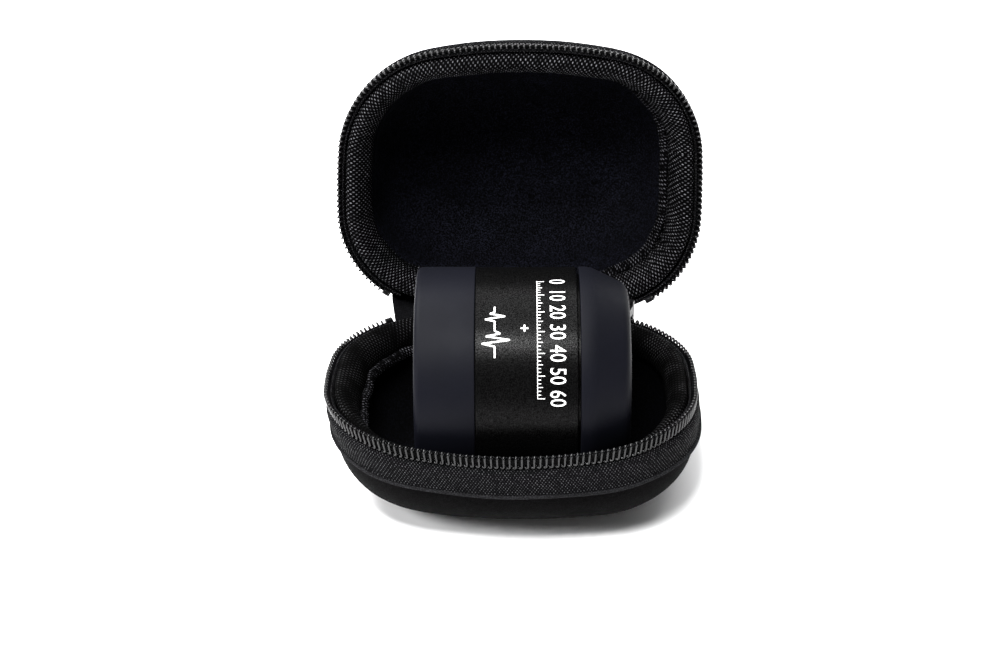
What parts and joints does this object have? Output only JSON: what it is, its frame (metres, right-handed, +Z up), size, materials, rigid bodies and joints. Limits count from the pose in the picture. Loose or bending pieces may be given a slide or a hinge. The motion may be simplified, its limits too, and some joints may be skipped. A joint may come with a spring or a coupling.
{
  "type": "pocket timegrapher in zip case",
  "caption": "Short drum-shaped timegrapher with a rubber foot and tapered sensing end, lying in an open clamshell zip case with a fabric hinge.",
  "frame": {"origin": "centre of the case's flat underside", "axes": "+X along the case's length towards the instrument's sensing end, +Y from the case's front to its hinge, +Z up"},
  "size_m": [0.074, 0.0889, 0.0774],
  "materials": {
    "shell_fabric": "matt woven polyester over moulded foam",
    "lining_knit": "fine knitted lining",
    "binding_weave": "woven edge binding",
    "zip_tape": "herringbone zip tape",
    "hinge_fabric": "woven hinge strip",
    "zip_coil": "coil of dark metallised nylon",
    "zip_metal": "black lacquered zinc",
    "rubber": "soft-touch silicone",
    "anodised": "bead-blasted black anodised",
    "aluminium": "machined",
    "screw_steel": "zinc plated",
    "chassis_plastic": "moulded",
    "carrier_plastic": "moulded, fine texture",
    "battery_wrap": "shrink wrap",
    "board_green": "solder mask",
    "chip_black": "moulded",
    "socket_steel": "drawn shell",
    "button_aluminium": "black anodised",
    "clear_light": "frosted light pipe",
    "sensor_steel": "fine turned",
    "spring_steel": "spring wire",
    "brass": "rolled",
    "gasket_rubber": "moulded",
    "foam": "open-cell foam",
    "white_print": "pad-printed marks"
  },
  "bodies": {
    "case_base": {"base_shell": "shell_fabric", "base_lining": "lining_knit", "base_binding": "binding_weave", "base_zip_tape": "zip_tape", "base_zip_coil": "zip_coil", "base_zip_stops": "zip_metal", "hinge_strip_lower": "hinge_fabric"},
    "lid": {"lid_shell": "shell_fabric", "lid_lining": "lining_knit", "lid_binding": "binding_weave", "lid_zip_tape": "zip_tape", "lid_zip_coil": "zip_coil", "lid_zip_stops": "zip_metal", "hinge_strip_upper": "hinge_fabric"},
    "slider": {"zip_slider": "zip_metal"},
    "pull_tab": {"zip_pull_tab": "zip_metal"},
    "device": {"foot_boot": "rubber", "barrel": "anodised", "head_ring": "rubber", "base_plate": "aluminium", "base_screws": "screw_steel", "chassis": "chassis_plastic", "battery": "battery_wrap", "circuit_board": "board_green", "board_components": "chip_black", "socket_board": "board_green", "charging_socket": "socket_steel", "button_switch": "chip_black", "status_light": "clear_light", "sensor_carrier": "carrier_plastic", "sensor_spring": "spring_steel", "head_gasket": "gasket_rubber", "foam_shelf": "chassis_plastic", "damping_foam": "foam"},
    "sensor": {"sensor_plate": "sensor_steel", "sensor_clip": "spring_steel", "piezo_disc": "brass"},
    "button": {"power_button": "button_aluminium"}
  },
  "joints": [
    {"name": "lid_hinge", "type": "hinge", "parent": "case_base", "child": "lid", "pos_m": [0, 0.028, 0.0219], "axis": [-1, 0, 0], "range_deg": [-101, 30]},
    {"name": "device_lift", "type": "slide", "parent": "case_base", "child": "device", "axis": [0, 0, 1], "range_m": [0, 0.085]},
    {"name": "slider_travel", "type": "hinge", "parent": "case_base", "child": "slider", "pos_m": [0.0142, 0.0054, 0.02175], "axis": [0, 0, -1], "range_deg": [0, 55]},
    {"name": "pull_tab_swing", "type": "hinge", "parent": "slider", "child": "pull_tab", "pos_m": [0.02221, 0.02802, 0.02175], "axis": [0.9426, -0.3338, 0], "range_deg": [0, 75]},
    {"name": "sensor_press", "type": "slide", "parent": "device", "child": "sensor", "axis": [-0.9997, -0.0262, 0], "range_m": [0, 0.0008], "stiffness_N_per_m": 500, "springref_m": -0.0005, "deforming": ["sensor_spring"]},
    {"name": "button_press", "type": "slide", "parent": "device", "child": "button", "axis": [0.0168, -0.6426, 0.766], "range_m": [0, 0.0004], "stiffness_N_per_m": 800, "springref_m": -0.0003}
  ]
}
